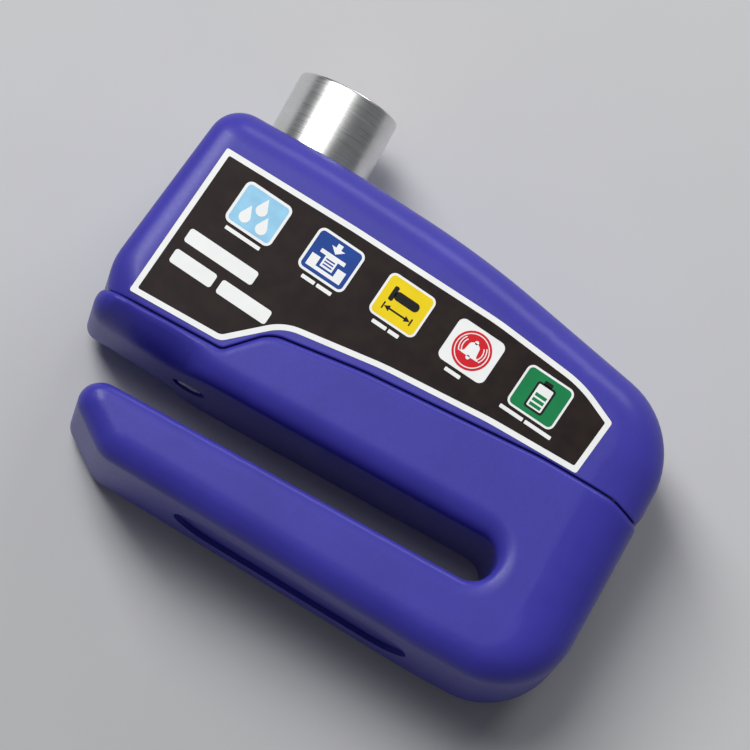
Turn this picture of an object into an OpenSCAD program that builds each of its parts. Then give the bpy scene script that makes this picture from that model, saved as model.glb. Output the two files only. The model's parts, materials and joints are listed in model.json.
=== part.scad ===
// Alarm disc brake lock for a motorcycle, lying on its back.
// X runs along the jaws, +Y points to the lock cylinder, +Z points out of the label face.
// The origin is at the middle of the back face of the whole lock. All sizes are in millimetres.

/* [Body] */
// Length along the jaws, from the end of the upper jaw to the closed end
body_l = 90; // [89:0.5:92]
// Height of the body, without the cylinder
body_h = 60.6; // [60.4:0.1:61.4]
// Thickness of the body
body_t = 33; // [33:0.1:34]
// Height of the slot that takes the brake disc
slot_h = 7.6; // [7:0.1:7.6]
// Height of the slot's floor above the bottom face
slot_floor = 12.6; // [12.4:0.1:12.8]
// Reach of the slot from the end of the upper jaw
slot_reach = 73.6; // [70:0.2:74]
// Thickness of the cover's walls
wall = 2.2; // [1.8:0.1:2.2]
// Gap of the joint between the cover and the body
joint_gap = 0.5; // [0.4:0.1:0.6]

/* [Lock cylinder] */
// Diameter of the steel sleeve
sleeve_d = 17; // [16.8:0.1:17]
// How far the cylinder is pushed in to lock
travel = 12; // [11:0.5:12]
// Distance of the cylinder's axis from the end of the upper jaw
axis_x = 19; // [18.8:0.1:19.2]
// Diameter of the lock pin
pin_d = 5.5; // [5:0.5:5.5]
// How far the locking bar comes out of the sleeve
bar_stroke = 1.5; // [1.2:0.1:1.5]

/* [Alarm] */
// Diameter of a button cell
cell_d = 11.6; // [11.4:0.1:11.6]
// Height of a button cell
cell_h = 5.4; // [5.2:0.1:5.4]
// Diameter of the sounder disc
piezo_d = 22; // [18:1:22]

/* [Hidden] */
$fn = 64;
EPS = 0.02;
RUN = 0.05;
total_h = body_h + travel;
axis_z = body_t / 2;
slot_roof = slot_floor + slot_h;
slot_end_r = slot_h / 2;
sleeve_r = sleeve_d / 2;
pin_r = pin_d / 2;

// Cylinder stack at rest, as heights above the bottom face of the lock
bore_floor = slot_roof + 3.5;
sleeve_top = total_h;
sleeve_foot = bore_floor + travel + 0.3;
spring_seat = sleeve_foot + 5;
cross_y = spring_seat + 2.3;
cross_r = 1;
pin_tip = slot_roof + 0.3;
pin_top = sleeve_foot + 9.5;
bar_y = sleeve_foot + 10;
bar_h = 3;
bar_half_w = 3;
foot_top = sleeve_foot + 13.2;
cam_y = foot_top + 0.2;
cam_t = 1.5;
cam_floor = 0.6;
barrel_y = sleeve_foot + 16;
wafer_y = barrel_y + 2.2;
wafer_pitch = 2.6;
wafer_t = 1;
wafer_half_w = 1.2;
wafer_half_h = 3.75;
key_half_t = 0.7;
lip_t = 1.2;

// Radii of the cylinder's pieces
boss_r = 12;
bush_r = 10;
core_r = 6.95;
plug_r = 4;
flange_r = 4.9;
tail_r = 2;
crank_pin_r = 0.8;
crank_r = bar_stroke / sqrt(2);
crank = crank_r / sqrt(2);
spring_r = 4.6;
spring_wire_r = 0.4;
seal_r = 0.85;

// What holds, seals and senses the cylinder
bush_y = 50;
boss_top = 55;
seal_y = boss_top + seal_r;
socket_y = 7.5;
socket_r = 4.5;
guide_y = 40;
screw_r = 1.45;
thread_r = screw_r + RUN;
button_y = 42;
button_r = 1.2;
button_flange_r = 1.9;
ramp_depth = 1.2;
ramp_angle = atan(ramp_depth / travel);

// Recess in the bottom face
recess_x = [26.5, 68.5];
recess_r = 7;
recess_depth = 0.9;

// Alarm capsule and what it holds, from back to front
case_x = 34;
case_end = 79;
case_y = 24.6;
case_fit = 0.5;
case_z = 3.3;
case_wall = 1.4;
case_floor = case_z + case_wall;
lid_z = 28.3;
board_z = 12;
board_t = 1.2;
board_front = board_z + board_t;
piezo_x = 58;
piezo_y = 38.5;
piezo_z = 6;
piezo_t = 0.25;
ring_w = 0.8;
membrane_t = 0.22;
cell_pitch = 12;
cell_x = case_x + 8.4;
cell_y = 32.3;
cell_z = 17.35;
tray_z = 16.15;
tray_half_h = 6.2;
plate_t = 0.26;
strip_t = 0.1;
switch_x = case_x + 1.6;
switch_l = 5.8;

// Sound holes in the back of the cover
vent_y = 41.5;
vent_r = 0.9;
vent_ring_r = 3.4;
VENT_HOLES = 6;

label_t = 0.25;

// Corners of the outlines, each [x, y, radius]
LOCK_OUTLINE = [
    [12.5, 2.4, 5],
    [70, 0, 60],
    [body_l, 0, 12.5],
    [body_l, body_h - 10.2, 14],
    [50, body_h - 1.9, 150],
    [24, body_h, 200],
    [3.4, body_h, 5.5],
    [-0.33, 21.9, 3.6],
    [18, slot_roof, 30],
    [slot_reach, slot_roof, slot_end_r - EPS],
    [slot_reach, slot_floor, slot_end_r - EPS],
    [7.6, slot_floor, 4],
    [4.6, 9, 2.5]
];
SHELL_OUTLINE = [
    [-2.4, 0, 5],
    [body_l, 0, 12.5],
    [body_l, body_h - 10.2, 14],
    [50, body_h - 1.9, 150],
    [24, body_h, 200],
    [3.4, body_h, 5.5]
];
PARTING = [
    [-5, 25.4, 0],
    [20.8, 25.6, 1.5],
    [26.3, 31.4, 6],
    [41.8, 33.3, 60],
    [72, 35, 60],
    [body_l + 5, 32.4, 0],
    [body_l + 5, body_h + 20, 0],
    [-5, body_h + 20, 0]
];
LABEL_OUTLINE = [
    [4, 26.5, 0.8],
    [20, 26.4, 2.5],
    [27.6, 33, 8],
    [44, 34.8, 60],
    [62, 35.5, 60],
    [77.6, 35.2, 1],
    [78.8, 44.9, 1],
    [72, 48.2, 20],
    [56, 50.5, 60],
    [30, 52.3, 80],
    [6.5, 53.4, 0.8]
];
// The capsule's chamber, its case, the board and the battery tray clear the slot's end with a cut corner
POCKET_OUTLINE = [
    [case_x - case_fit, case_y - case_fit, 0],
    [70, case_y - case_fit, 0],
    [case_end + case_fit, 33.5, 0],
    [case_end + case_fit, body_h, 0],
    [case_x - case_fit, body_h, 0]
];
CASE_OUTLINE = [
    [case_x, case_y, 2],
    [69.8, case_y, 2],
    [case_end, 33.7, 2],
    [case_end, 46.5, 4],
    [62, 52.5, 10],
    [case_x, 54.5, 3]
];
TRAY_OUTLINE = [
    [36, 26.1, 0.5],
    [69.1, 26.1, 1],
    [73, 30, 1],
    [73, 38.5, 0.5],
    [36, 38.5, 0.5]
];
BOARD_OUTLINE = [
    [36, 26.6, 1],
    [69, 26.6, 1],
    [77, 34.6, 1],
    [77, 45.4, 1],
    [62, 49.6, 3],
    [36, 51.4, 1]
];
COVER_SCREWS = [[8, 29.5], [24.5, 51.5], [82.4, 41]];
// Lowest and highest corners of the pads that the cover's screws go into
SCREW_PADS = [
    [[4.6, 24, 2.4], [12, 34, 14]],
    [[17, 44, 2.4], [29, boss_top, 14]],
    [[79.8, 30, 2.4], [85.6, 44.4, 9.5]]
];
BOARD_SCREWS = [[38.5, 47.5], [74.6, 36.6]];

// ---- Outlines ----

function xy(p) = [p[0], p[1]];
function unit(v) = v / norm(v);
function left_normal(v) = unit([-v[1], v[0]]);
function before(c, i) = c[(i + len(c) - 1) % len(c)];
function after(c, i) = c[(i + 1) % len(c)];

// The arc that rounds corner q between its neighbours p and s
function corner_arc(p, q, s, n) =
    let (a = unit(xy(p) - xy(q)), b = unit(xy(s) - xy(q)))
    let (half = acos(a * b) / 2, middle = xy(q) + unit(a + b) * q[2] / sin(half))
    let (start = xy(q) + a * q[2] / tan(half) - middle)
    let (finish = xy(q) + b * q[2] / tan(half) - middle)
    let (turn = cross(start, finish) > 0 ? 1 : -1)
    [for (k = [0:n])
        let (g = turn * k / n * acos(unit(start) * unit(finish)))
        middle + [start[0] * cos(g) - start[1] * sin(g),
                  start[0] * sin(g) + start[1] * cos(g)]];

// A closed outline from corners with radii
function rounded(c, n = 10) =
    [for (i = [0:len(c) - 1])
        each c[i][2] > 0 ? corner_arc(before(c, i), c[i], after(c, i), n) : [xy(c[i])]];

// The same corners moved inwards by d, for a counter-clockwise outline
function inset(c, d) =
    [for (i = [0:len(c) - 1])
        let (p = xy(before(c, i)), q = xy(c[i]), s = xy(after(c, i)))
        let (m = left_normal(q - p), n = left_normal(s - q))
        let (place = q + d * (m + n) / (1 + m * n))
        let (r = cross(q - p, s - q) > 0 ? max(c[i][2] - d, 0.4) : c[i][2] + d)
        [place[0], place[1], r]];

// ---- Shared shapes ----

// Moves from the lock's own corner to the frame of the whole part
module in_frame() {
    translate([-body_l / 2, -total_h / 2, 0]) children();
}

module prism(corners, z0, z1) {
    translate([0, 0, z0]) linear_extrude(z1 - z0) polygon(rounded(corners));
}

// A cylinder along +Y on the lock cylinder's axis
module post(r, y0, y1) {
    translate([axis_x, y0, axis_z]) rotate([-90, 0, 0]) cylinder(r = r, h = y1 - y0);
}

module tube(r_out, r_in, y0, y1) {
    difference() {
        post(r_out, y0, y1);
        post(r_in, y0 - 1, y1 + 1);
    }
}

// A box from its lowest to its highest corner
module block(a, b) {
    translate(a) cube(b - a);
}

// Everything above the joint line between cover and body, moved up by dy
module above_joint(dy) {
    translate([0, dy, -1]) linear_extrude(body_t + 2) polygon(rounded(PARTING));
}

// The block that rounds the long front and back edges
module soft_block() {
    r = 5.5;
    intersection() {
        rotate([90, 0, 90]) linear_extrude(body_l + 2)
            polygon(rounded([[-0.1, 0, r], [body_h, 0, r], [body_h, body_t, r], [-0.1, body_t, r]]));
        translate([0, body_h + 1, 0]) rotate([90, 0, 0]) linear_extrude(body_h + 2)
            polygon(rounded([[-0.3, 0, r], [body_l, 0, r], [body_l, body_t, r], [-0.3, body_t, r]]));
    }
}

// A coil spring along +Z, one ring of wire corners every 22.5 degrees
module coil(mean_r, wire_r, turns, h) {
    rings = ceil(turns * 16);
    sides = 6;
    points = [for (i = [0:rings], k = [0:sides - 1])
        let (a = 360 * turns * i / rings, g = 360 * k / sides, r = mean_r + wire_r * cos(g))
        [r * cos(a), r * sin(a), wire_r + (h - 2 * wire_r) * i / rings + wire_r * sin(g)]];
    skin = [for (i = [0:rings - 1], k = [0:sides - 1])
        let (p = i * sides + k, q = i * sides + (k + 1) % sides)
        [p, q, q + sides, p + sides]];
    start_cap = [for (k = [0:sides - 1]) sides - 1 - k];
    end_cap = [for (k = [0:sides - 1]) rings * sides + k];
    polyhedron(points, concat([start_cap], skin, [end_cap]), convexity = 10);
}

// A wire through axis-aligned points, with round elbows
module wire(route, d) {
    for (i = [0:len(route) - 2]) {
        run = route[i + 1] - route[i];
        translate(route[i])
            rotate([run[1] < 0 ? 90 : run[1] > 0 ? -90 : run[2] < 0 ? 180 : 0,
                    run[0] > 0 ? 90 : run[0] < 0 ? -90 : 0, 0])
                cylinder(d = d, h = norm(run), $fn = 16);
    }
    for (i = [1:len(route) - 2]) translate(route[i]) sphere(d = d, $fn = 16);
}

// ---- Housing ----

module lock_body() {
    color("#3a35c4") in_frame() difference() {
        union() {
            difference() {
                intersection() {
                    prism(LOCK_OUTLINE, 0, body_t);
                    soft_block();
                }
                above_joint(-joint_gap / 2);
            }
            post(boss_r, bore_floor, boss_top);
            for (pad = SCREW_PADS) block(pad[0], pad[1]);
        }
        post(sleeve_r + 0.1, bore_floor, body_h);
        post(bush_r, bush_y, body_h);
        post(pin_r + RUN, slot_floor + 1, bore_floor + 1);
        post(socket_r, socket_y, slot_floor + 1);
        bar_pocket(bar_y);
        bar_pocket(bar_y - travel);
        translate([axis_x, guide_y, 0]) cylinder(r = thread_r, h = axis_z);
        translate([axis_x, button_y, axis_z]) rotate([0, 90, 0])
            cylinder(r = button_r + RUN, h = boss_r + 3);
        capsule_pocket();
        for (s = COVER_SCREWS) translate([s[0], s[1], 1]) cylinder(r = thread_r, h = 6);
        bottom_recess();
    }
}

// The chamber that holds the alarm capsule, open to the cover
module capsule_pocket() {
    difference() {
        prism(POCKET_OUTLINE, 3, body_t - 3);
        post(boss_r, 0, body_h);
    }
}

// The shallow recess with round ends in the bottom face, which rises towards the jaws' tips
module bottom_recess() {
    foot = LOCK_OUTLINE[1];
    rise = LOCK_OUTLINE[0] - foot;
    middle = [recess_x[0] + recess_r, recess_x[1] - recess_r];
    translate([foot[0], 0, 0]) rotate([0, 0, atan(rise[1] / rise[0])]) translate([-foot[0], 0, 0]) {
        for (x = middle) translate([x, recess_depth, axis_z])
            rotate([90, 0, 0]) cylinder(r = recess_r, h = 4);
        block([middle[0], -4, axis_z - recess_r], [middle[1], recess_depth, axis_z + recess_r]);
    }
}

// Where the locking bar comes out, seen from the bore
module bar_pocket(y) {
    half_w = bar_half_w + 0.3;
    block([axis_x - sleeve_r - 2, y - 0.2, axis_z - half_w],
          [axis_x, y + bar_h + 0.2, axis_z + half_w]);
}

module upper_cover() {
    collar_r = boss_r + 0.2;
    head_r = 3;
    head_h = 1.4;
    color("#3f3acc") in_frame() difference() {
        union() {
            difference() {
                intersection() {
                    prism(SHELL_OUTLINE, 0, body_t);
                    soft_block();
                    above_joint(joint_gap / 2);
                }
                prism(inset(SHELL_OUTLINE, wall), wall, body_t - wall);
            }
            post(collar_r, boss_top + 0.3, body_h - 1);
        }
        post(sleeve_r + 0.25, bush_y, body_h + 1);
        post(bush_r + 0.4, boss_top, seal_y + seal_r);
        for (s = COVER_SCREWS) translate([s[0], s[1], -EPS]) {
            cylinder(r = screw_r + 0.15, h = wall + 1);
            cylinder(r1 = head_r, r2 = screw_r + 0.15, h = head_h);
        }
        translate([piezo_x, vent_y, -1]) {
            cylinder(r = vent_r, h = wall + 2);
            for (k = [1:VENT_HOLES]) rotate(k * 360 / VENT_HOLES)
                translate([vent_ring_r, 0, 0]) cylinder(r = vent_r, h = wall + 2);
        }
        prism(LABEL_OUTLINE, body_t - label_t, body_t + 1);
    }
}

module cover_gasket() {
    color("#151515") in_frame() difference() {
        intersection() {
            prism(inset(SHELL_OUTLINE, 1), 1, body_t - 1);
            above_joint(-joint_gap / 2);
        }
        above_joint(joint_gap / 2);
        prism(inset(SHELL_OUTLINE, wall), wall, body_t - wall);
    }
}

module front_label() {
    color("#161616") in_frame() prism(LABEL_OUTLINE, body_t - label_t, body_t);
}

module cover_screws() {
    head_h = 1.4;
    color("silver") in_frame() for (s = COVER_SCREWS) translate([s[0], s[1], 0]) difference() {
        union() {
            cylinder(r1 = 2 * screw_r, r2 = screw_r, h = head_h);
            cylinder(r = screw_r, h = 6.4);
        }
        translate([0, 0, -1]) cylinder(r = 1.2, h = 2, $fn = 6);
    }
}

module guide_bush() {
    color("#b08d57") in_frame() tube(bush_r, sleeve_r + RUN, bush_y, boss_top);
}

module cylinder_seal() {
    color("#202020") in_frame() translate([axis_x, seal_y, axis_z]) rotate([-90, 0, 0])
        rotate_extrude() translate([sleeve_r + RUN + seal_r, 0]) circle(r = seal_r, $fn = 32);
}

module guide_screw() {
    start_z = axis_z - boss_r + 0.1;
    tip_z = axis_z - core_r - 0.45;
    color("dimgray") in_frame() translate([axis_x, guide_y, start_z]) difference() {
        cylinder(r = screw_r, h = tip_z - start_z);
        translate([0, 0, -1]) cylinder(r = 0.8, h = 2.4, $fn = 6);
    }
}

module pin_socket() {
    color("silver") in_frame() difference() {
        post(socket_r - EPS, socket_y, slot_floor);
        post(pin_r + 0.25, socket_y + 0.7, slot_floor + 1);
    }
}

// ---- Plunger ----

module cylinder_sleeve() {
    window_half_w = bar_half_w + 0.1;
    color("#c9ccd0") in_frame() difference() {
        tube(sleeve_r, core_r + RUN, sleeve_foot, sleeve_top);
        block([axis_x - sleeve_r - 1, bar_y - 0.1, axis_z - window_half_w],
              [axis_x, bar_y + bar_h + 0.1, axis_z + window_half_w]);
        block([axis_x - thread_r, guide_y - thread_r, 0],
              [axis_x + thread_r, guide_y + travel + thread_r, axis_z]);
        switch_ramp();
    }
}

// The slanting flat that moves the switch button as the cylinder goes in
module switch_ramp() {
    translate([axis_x + sleeve_r - ramp_depth, button_y, 0]) rotate(-ramp_angle)
        translate([0, -2.6, 0]) cube([5, travel + 4, body_t]);
}

module lock_barrel() {
    groove_half_w = 1.4;
    color("#c8a550") in_frame() difference() {
        post(core_r, barrel_y, sleeve_top - 0.3);
        post(plug_r + RUN, barrel_y - 1, sleeve_top);
        post(flange_r + 0.1, sleeve_top - lip_t, sleeve_top);
        block([axis_x - groove_half_w, barrel_y + 1, axis_z - plug_r - groove_half_w],
              [axis_x + groove_half_w, sleeve_top - 3, axis_z + plug_r + groove_half_w]);
    }
}

module plunger_foot() {
    color("gray") in_frame() difference() {
        post(core_r, sleeve_foot, foot_top);
        post(pin_r + EPS, sleeve_foot - 1, pin_top + 0.1);
        post(spring_r + 1.6, sleeve_foot - 1, spring_seat);
        block([axis_x - 10, bar_y, axis_z - bar_half_w - RUN],
              [axis_x + 6, foot_top + 1, axis_z + bar_half_w + RUN]);
        translate([axis_x, cross_y, -1]) cylinder(r = cross_r, h = body_t + 2);
    }
}

module lock_pin() {
    chamfer = 0.8;
    color("#dfe2e6") in_frame() difference() {
        union() {
            post(pin_r, pin_tip + chamfer, pin_top);
            translate([axis_x, pin_tip, axis_z]) rotate([-90, 0, 0])
                cylinder(r1 = pin_r - chamfer, r2 = pin_r, h = chamfer);
        }
        translate([axis_x, cross_y, -1]) cylinder(r = cross_r, h = body_t + 2);
    }
}

module cross_pin() {
    half_l = 6.6;
    color("silver") in_frame() translate([axis_x, cross_y, axis_z - half_l])
        cylinder(r = cross_r, h = 2 * half_l);
}

module return_spring() {
    color("silver") in_frame() translate([axis_x, bore_floor, axis_z]) rotate([-90, 0, 0])
        coil(spring_r, spring_wire_r, 6, spring_seat - bore_floor);
}

// ---- Key plug ----

module key_plug() {
    color("#d8b45c") in_frame() difference() {
        union() {
            post(plug_r, barrel_y, sleeve_top - 0.6);
            post(flange_r, sleeve_top - lip_t + RUN, sleeve_top - 0.4);
            post(tail_r, cam_y + cam_floor, barrel_y + 1);
        }
        block([axis_x - key_half_t, barrel_y + 1, axis_z - 3],
              [axis_x + key_half_t, sleeve_top + 1, axis_z + 3]);
        for (k = [0:5]) translate([0, wafer_pitch * k, 0])
            block([axis_x - wafer_half_w - RUN, wafer_y - RUN, axis_z - plug_r],
                  [axis_x + wafer_half_w + RUN, wafer_y + wafer_t + RUN, axis_z + plug_r]);
    }
}

module wafers() {
    color("#e3c878") in_frame() for (k = [0:5]) translate([0, wafer_pitch * k, 0]) difference() {
        cut = 0.2 * (k % 3);
        block([axis_x - wafer_half_w, wafer_y, axis_z - wafer_half_h],
              [axis_x + wafer_half_w, wafer_y + wafer_t, axis_z + wafer_half_h]);
        block([axis_x - key_half_t, wafer_y - 1, axis_z - 2.8 + cut],
              [axis_x + key_half_t, wafer_y + 2, axis_z + 2.4 + cut]);
    }
}

module plug_circlip() {
    color("dimgray") in_frame() difference() {
        tube(3.4, tail_r, barrel_y - 0.8, barrel_y - 0.2);
        block([axis_x - 0.9, barrel_y - 1, axis_z], [axis_x + 0.9, barrel_y, axis_z + 5]);
    }
}

module drive_cam() {
    color("slategray") in_frame() difference() {
        union() {
            post(4.5, cam_y, cam_y + cam_t);
            translate([crank, 0, -crank]) post(crank_pin_r, bar_y + 0.3, cam_y + cam_floor);
        }
        post(tail_r, cam_y + cam_floor, cam_y + cam_t + 1);
    }
}

module locking_bar() {
    slot_half = crank_pin_r + 0.1;
    color("#8f9aa3") in_frame() difference() {
        intersection() {
            block([axis_x - 10, bar_y + EPS, axis_z - bar_half_w],
                  [axis_x + 5.5, bar_y + bar_h, axis_z + bar_half_w]);
            post(sleeve_r - RUN, bar_y - 1, bar_y + bar_h + 1);
        }
        block([axis_x + crank - slot_half, bar_y - 1, axis_z - crank_r - slot_half - 0.3],
              [axis_x + crank + slot_half, bar_y + bar_h + 1, axis_z - crank + slot_half + 0.3]);
    }
}

// ---- Alarm unit ----

module alarm_case() {
    color("#2b2b2e") in_frame() difference() {
        union() {
            difference() {
                prism(CASE_OUTLINE, case_z, lid_z);
                prism(inset(CASE_OUTLINE, case_wall), case_floor, lid_z + 1);
            }
            for (s = BOARD_SCREWS) translate([s[0], s[1], case_z])
                cylinder(r = 2, h = board_z - case_z);
        }
        for (s = BOARD_SCREWS) translate([s[0], s[1], board_z - 5]) cylinder(r = 0.95, h = 6);
        translate([piezo_x, vent_y, 0]) cylinder(r = vent_ring_r + 1.1, h = case_floor + 1);
        translate([case_x - 1, button_y, axis_z]) rotate([0, 90, 0])
            cylinder(r = button_r + RUN, h = 4);
    }
}

module case_lid() {
    color("#333338") in_frame() prism(CASE_OUTLINE, lid_z, lid_z + case_wall);
}

module circuit_board() {
    color("#1f6b3a") in_frame() difference() {
        prism(BOARD_OUTLINE, board_z, board_front);
        for (s = BOARD_SCREWS) translate([s[0], s[1], 0]) cylinder(r = 1.1, h = body_t);
    }
}

module board_screws() {
    color("silver") in_frame() for (s = BOARD_SCREWS) translate([s[0], s[1], 0]) difference() {
        union() {
            translate([0, 0, board_z - 4]) cylinder(r = 0.9, h = 5.7);
            translate([0, 0, board_front]) cylinder(r = 1.8, h = 1.2);
        }
        translate([0, 0, board_front + 0.6]) cylinder(r = 0.8, h = 2, $fn = 6);
    }
}

module microchip() {
    chip = [6.4, 4.4, 1.5];
    leg = [0.5, 1.1, 0.5];
    color("#1a1a1a") in_frame() translate([49, 40.4, board_front]) {
        cube(chip);
        for (k = [0:3], y = [-leg[1], chip[1]]) translate([0.9 + 1.4 * k, y, 0]) cube(leg);
    }
}

module chip_resistors() {
    color("#3d3d40") in_frame() for (column = [0:2], line = [0:1])
        translate([58.5 + 2.2 * column, 41 + 1.8 * line, board_front]) cube([1.6, 0.9, 0.5]);
}

module capacitor() {
    color("#3b4a78") in_frame() translate([60.5, 46.6, board_front]) difference() {
        cylinder(r = 2.4, h = 8);
        translate([0, 0, 6.6]) difference() {
            cylinder(r = 3, h = 0.6);
            translate([0, 0, -1]) cylinder(r = 2.1, h = 3);
        }
    }
}

module step_up_coil() {
    color("#9a5a2a") in_frame() translate([70.6, 43.2, board_front]) {
        cylinder(r = 3.6, h = 1);
        cylinder(r = 3, h = 6);
        translate([0, 0, 6]) cylinder(r = 3.6, h = 1);
    }
}

module shock_sensor() {
    can_r = 2.4;
    can_l = 12;
    color("#b8bcc2") in_frame() translate([43.4, 47.6, board_front + can_r]) rotate([0, 90, 0])
        difference() {
            cylinder(r = can_r, h = can_l);
            translate([0, 0, can_l - 1.4]) cylinder(r = can_r - 0.5, h = 2);
        }
}

module resonator_ring() {
    color("#d8d8d2") in_frame() translate([piezo_x, piezo_y, case_floor]) difference() {
        cylinder(r = piezo_d / 2 + ring_w, h = 2.4);
        translate([0, 0, -1]) cylinder(r = piezo_d / 2 - 1.2, h = 5);
        translate([0, 0, piezo_z - case_floor]) cylinder(r = piezo_d / 2 + EPS, h = 3);
    }
}

module piezo_disc() {
    color("#caa24a") in_frame() translate([piezo_x, piezo_y, piezo_z])
        cylinder(d = piezo_d, h = piezo_t);
}

module piezo_ceramic() {
    color("#e8e4d8") in_frame() translate([piezo_x, piezo_y, piezo_z + piezo_t])
        cylinder(d = piezo_d - 7, h = piezo_t);
}

module sound_membrane() {
    color("#f0f0f0") in_frame() translate([piezo_x, vent_y, case_z - membrane_t])
        cylinder(r = 5.6, h = membrane_t);
}

module battery_tray() {
    foot_w = 1.5;
    color("#45454a") in_frame() difference() {
        union() {
            prism(TRAY_OUTLINE, tray_z, lid_z - 0.4);
            for (x = [cell_x - 5.4, cell_x + 2 * cell_pitch])
                for (y = [cell_y - tray_half_h + 0.6, cell_y + tray_half_h - foot_w - 0.6])
                    block([x, y, board_front], [x + foot_w, y + foot_w, tray_z + 1]);
        }
        for (k = [0:2]) translate([cell_x + cell_pitch * k, cell_y, 0]) {
            translate([0, 0, cell_z - 0.3]) cylinder(r = cell_d / 2 + 0.1, h = body_t);
            cylinder(r = 0.5, h = body_t);
        }
        block([cell_x - 5.4, cell_y - 2, lid_z - 1], [cell_x + 2 * cell_pitch + 5.4, cell_y + 2, lid_z]);
    }
}

// One button cell: can, insulating step and cap
module cell(column, layer) {
    cap_h = 0.5;
    cap_inset = 0.9;
    color("#d5d7da") in_frame()
        translate([cell_x + cell_pitch * column, cell_y, cell_z + (cell_h + EPS) * layer]) {
            cylinder(d = cell_d, h = cell_h - cap_h);
            cylinder(d = cell_d - 2 * cap_inset, h = cell_h);
        }
}

// A plate under each pair of cells, with a leg down to the board
module contact_plates() {
    color("#c0c4c8") in_frame() for (k = [0:2])
        translate([cell_x + cell_pitch * k, cell_y, cell_z - EPS]) {
            translate([0, 0, -plate_t]) cylinder(r = 4.4, h = plate_t);
            translate([0, 0, board_front - cell_z + EPS])
                cylinder(r = 0.4, h = cell_z - EPS - board_front, $fn = 24);
        }
}

// The strip across the tops of the cells, with a tab over the tray's edge
module contact_bridge() {
    half_w = 1.8;
    top_z = lid_z - 0.01;
    tray_edge = cell_y + tray_half_h;
    color("#c0c4c8") in_frame() {
        block([cell_x - 2, cell_y - half_w, top_z - strip_t],
              [cell_x + 2 * cell_pitch + 2, cell_y + half_w, top_z]);
        block([cell_x, cell_y, top_z - strip_t], [cell_x + 2, tray_edge + 0.4, top_z]);
        block([cell_x, tray_edge + 0.1, top_z - 3], [cell_x + 2, tray_edge + 0.4, top_z]);
    }
}

// ---- Switch ----

module switch_body() {
    half_w = 2.9;
    color("#1c1c1f") in_frame() difference() {
        block([switch_x, button_y - half_w, board_front],
              [switch_x + switch_l, button_y + half_w, axis_z + 3]);
        translate([switch_x - 1, button_y, axis_z]) rotate([0, 90, 0])
            cylinder(r = button_r + RUN, h = 3);
        translate([switch_x + 0.8, button_y, axis_z]) rotate([0, 90, 0])
            cylinder(r = button_flange_r + 0.2, h = switch_l - 1.6);
    }
}

module switch_button() {
    tip_x = axis_x + sleeve_r - ramp_depth + (button_r + 0.03) / cos(ramp_angle);
    flange_x = switch_x + 0.9;
    color("#c23b22") in_frame() translate([0, button_y, axis_z]) {
        translate([tip_x, 0, 0]) sphere(r = button_r);
        translate([tip_x, 0, 0]) rotate([0, 90, 0]) cylinder(r = button_r, h = flange_x - tip_x + 0.4);
        translate([flange_x, 0, 0]) rotate([0, 90, 0]) cylinder(r = button_flange_r, h = 0.8);
    }
}

module switch_spring() {
    start_x = switch_x + 1.75;
    color("silver") in_frame() translate([start_x, button_y, axis_z]) rotate([0, 90, 0])
        coil(1.4, 0.15, 4, switch_x + switch_l - 0.85 - start_x);
}

// ---- Leads ----

// From the contact bridge's tab to the board
module battery_lead() {
    start = [cell_x + 1, cell_y + tray_half_h + 0.8, lid_z - 2.2];
    bend = start + [0, 3.6, 0];
    color("#b3221c") in_frame() wire([start, bend, [bend[0], bend[1], board_front]], 0.8);
}

// From the ceramic disc through to the board's back
module piezo_leads() {
    color("#202020") in_frame() for (x = [-2, 2])
        wire([[piezo_x + x, piezo_y + 4, piezo_z + 2 * piezo_t], [piezo_x + x, piezo_y + 4, board_z]], 0.8);
}

lock_body();
upper_cover();
cover_gasket();
front_label();
cover_screws();
guide_bush();
cylinder_seal();
guide_screw();
pin_socket();
cylinder_sleeve();
lock_barrel();
plunger_foot();
lock_pin();
cross_pin();
return_spring();
key_plug();
wafers();
plug_circlip();
drive_cam();
locking_bar();
alarm_case();
case_lid();
circuit_board();
board_screws();
microchip();
chip_resistors();
capacitor();
step_up_coil();
shock_sensor();
resonator_ring();
piezo_disc();
piezo_ceramic();
sound_membrane();
battery_tray();
cell(0, 0);  // cell_1
cell(0, 1);  // cell_2
cell(1, 0);  // cell_3
cell(1, 1);  // cell_4
cell(2, 0);  // cell_5
cell(2, 1);  // cell_6
contact_plates();
contact_bridge();
switch_body();
switch_button();
switch_spring();
battery_lead();
piezo_leads();
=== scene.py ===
"""Disc brake lock with alarm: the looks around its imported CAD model.

Sizes are millimetres in the lock's own coordinates until place() turns them into the frame's metres:
u runs along the lock from the jaw tips, v from the bottom face up to the cylinder, and w from the back
to the front.
"""

import json
import math

import bmesh
import bpy
import numpy as np
from mathutils import Matrix, Vector
from mathutils.geometry import delaunay_2d_cdt


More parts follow.
